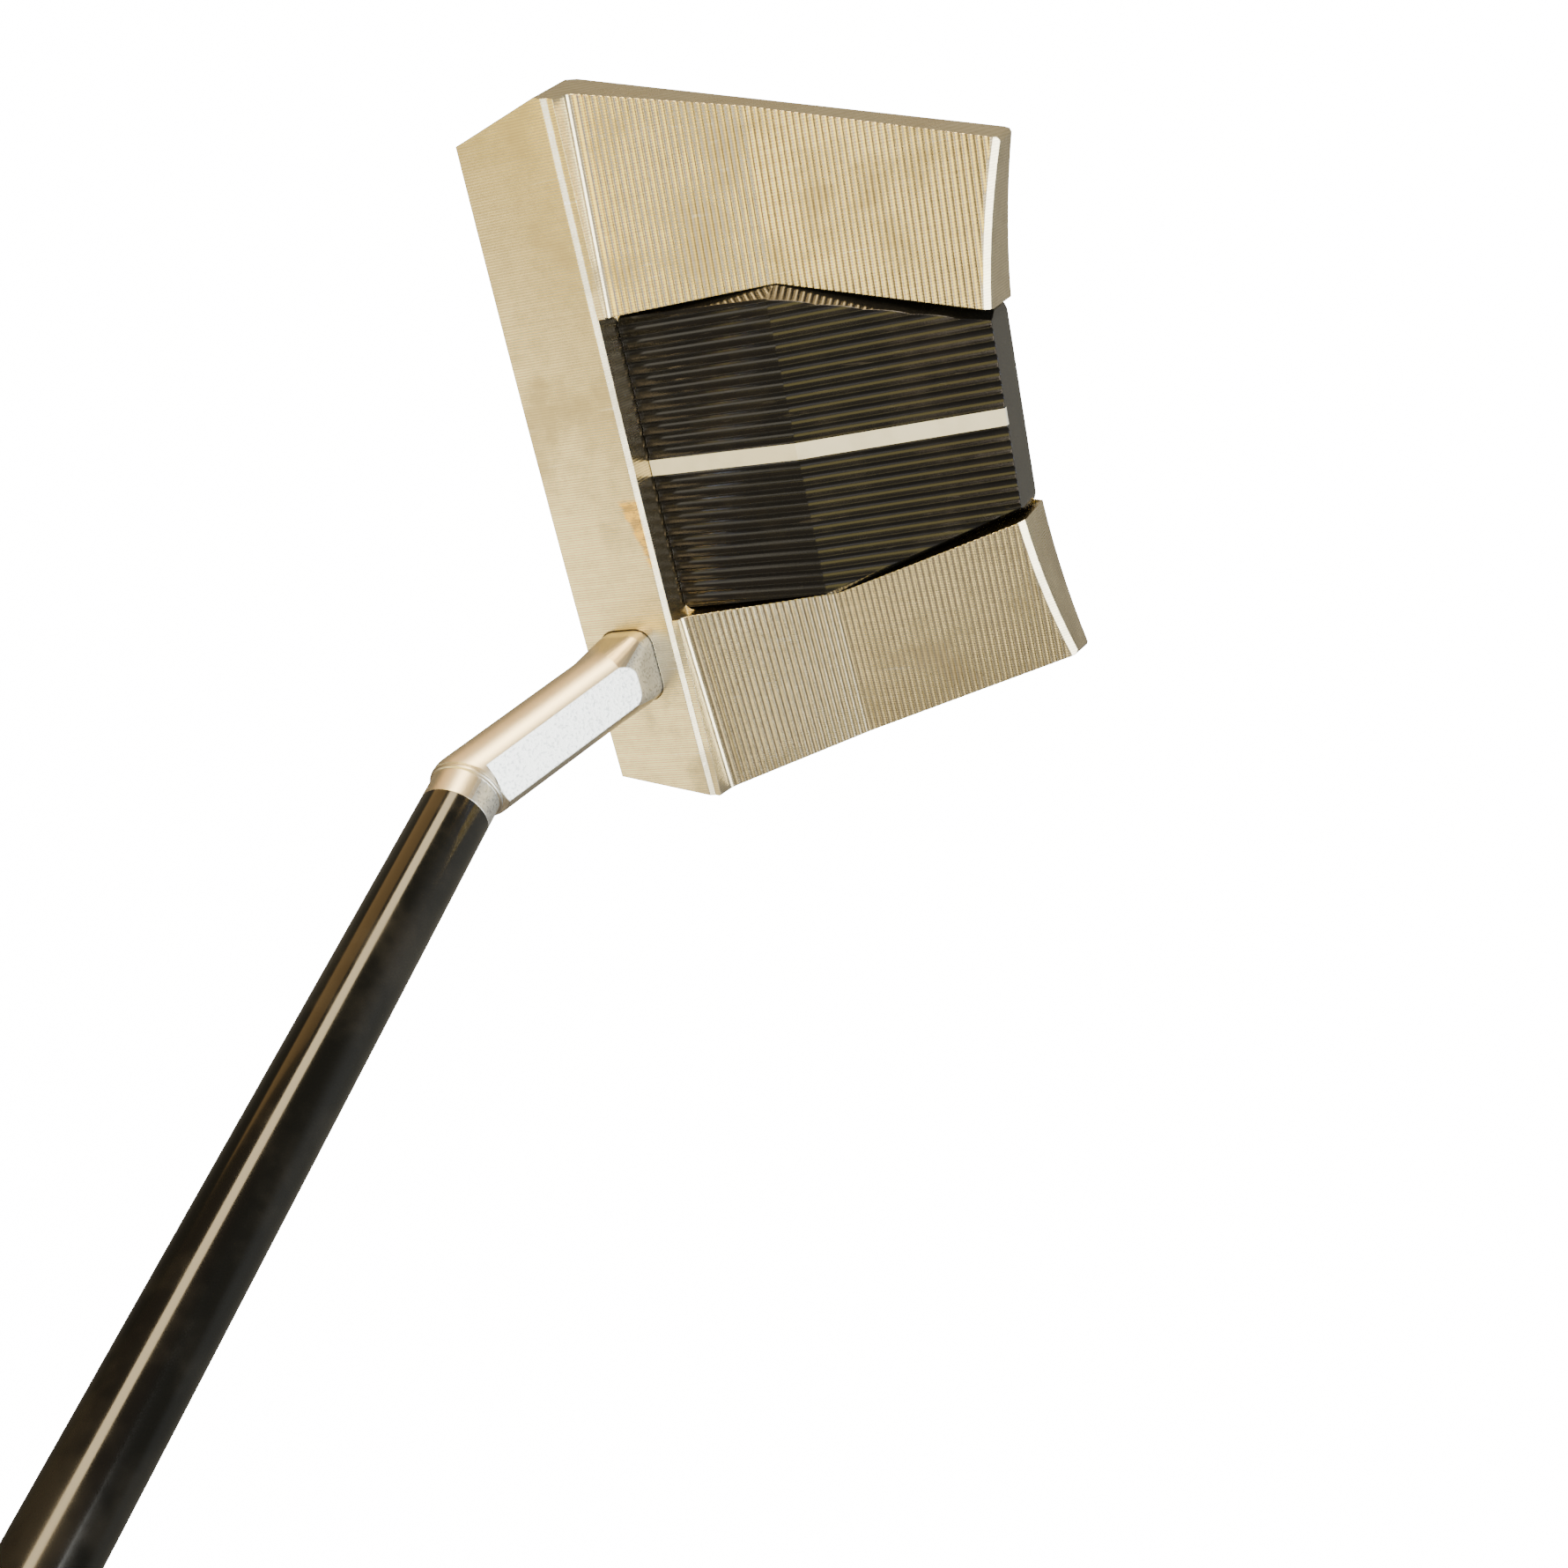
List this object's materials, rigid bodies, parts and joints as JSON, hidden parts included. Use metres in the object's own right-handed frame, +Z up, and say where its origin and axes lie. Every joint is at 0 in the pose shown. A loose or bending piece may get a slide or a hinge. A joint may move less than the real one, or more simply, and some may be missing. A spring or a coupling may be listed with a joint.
{
  "type": "mallet putter",
  "caption": "Mallet golf putter with milled steel head, black fluted centre insert with a pale sight line, slant neck, steel shaft and rubber grip.",
  "frame": {"origin": "middle of the flat under the sole, on the ground plane, midway between toe and heel", "axes": "+X towards the heel, +Y from the face to the back of the head, +Z up"},
  "size_m": [0.3778, 0.0875, 0.8128],
  "materials": {
    "head_steel": "fine milled satin",
    "neck_steel": "bead-blasted satin",
    "insert_black": "black anodised, satin",
    "sight_paint": "smooth paint fill",
    "damper_rubber": "smooth",
    "hardware_steel": "turned",
    "weight_steel": "turned face",
    "washer_rubber": "smooth",
    "shaft_black": "gloss black",
    "tape": "paper backed tape",
    "grip_rubber": "ribbed matte"
  },
  "bodies": {
    "putter": {"head_body": "head_steel", "centre_insert": "insert_black", "sight_line": "sight_paint", "insert_damper": "damper_rubber", "insert_dowels": "hardware_steel", "sole_plate": "insert_black", "sole_screws": "hardware_steel", "neck": "neck_steel", "neck_screw": "hardware_steel", "shaft": "shaft_black", "grip_tape": "tape", "grip": "grip_rubber", "grip_cap": "grip_rubber"},
    "toe_washer_body": {"toe_weight_washer": "washer_rubber"},
    "toe_weight_body": {"toe_weight": "weight_steel"},
    "heel_washer_body": {"heel_weight_washer": "washer_rubber"},
    "heel_weight_body": {"heel_weight": "weight_steel"}
  },
  "joints": [
    {"name": "toe_weight_out", "type": "slide", "parent": "putter", "child": "toe_washer_body", "axis": [0, 0, -1], "range_m": [0, 0.0046]},
    {"name": "toe_weight_turn", "type": "hinge", "parent": "toe_washer_body", "child": "toe_weight_body", "pos_m": [-0.0345, -0.0028, 0.003], "axis": [0, 0, -1], "range_deg": [0, 1620]},
    {"name": "heel_weight_out", "type": "slide", "parent": "putter", "child": "heel_washer_body", "axis": [0, 0, -1], "range_m": [0, 0.0046]},
    {"name": "heel_weight_turn", "type": "hinge", "parent": "heel_washer_body", "child": "heel_weight_body", "pos_m": [0.0345, -0.0028, 0.003], "axis": [0, 0, -1], "range_deg": [0, 1620]}
  ],
  "couplings": [
    {"joint": "toe_weight_out", "follows": "toe_weight_turn", "m_per_rad": 0.00015915},
    {"joint": "heel_weight_out", "follows": "heel_weight_turn", "m_per_rad": 0.00015915}
  ]
}
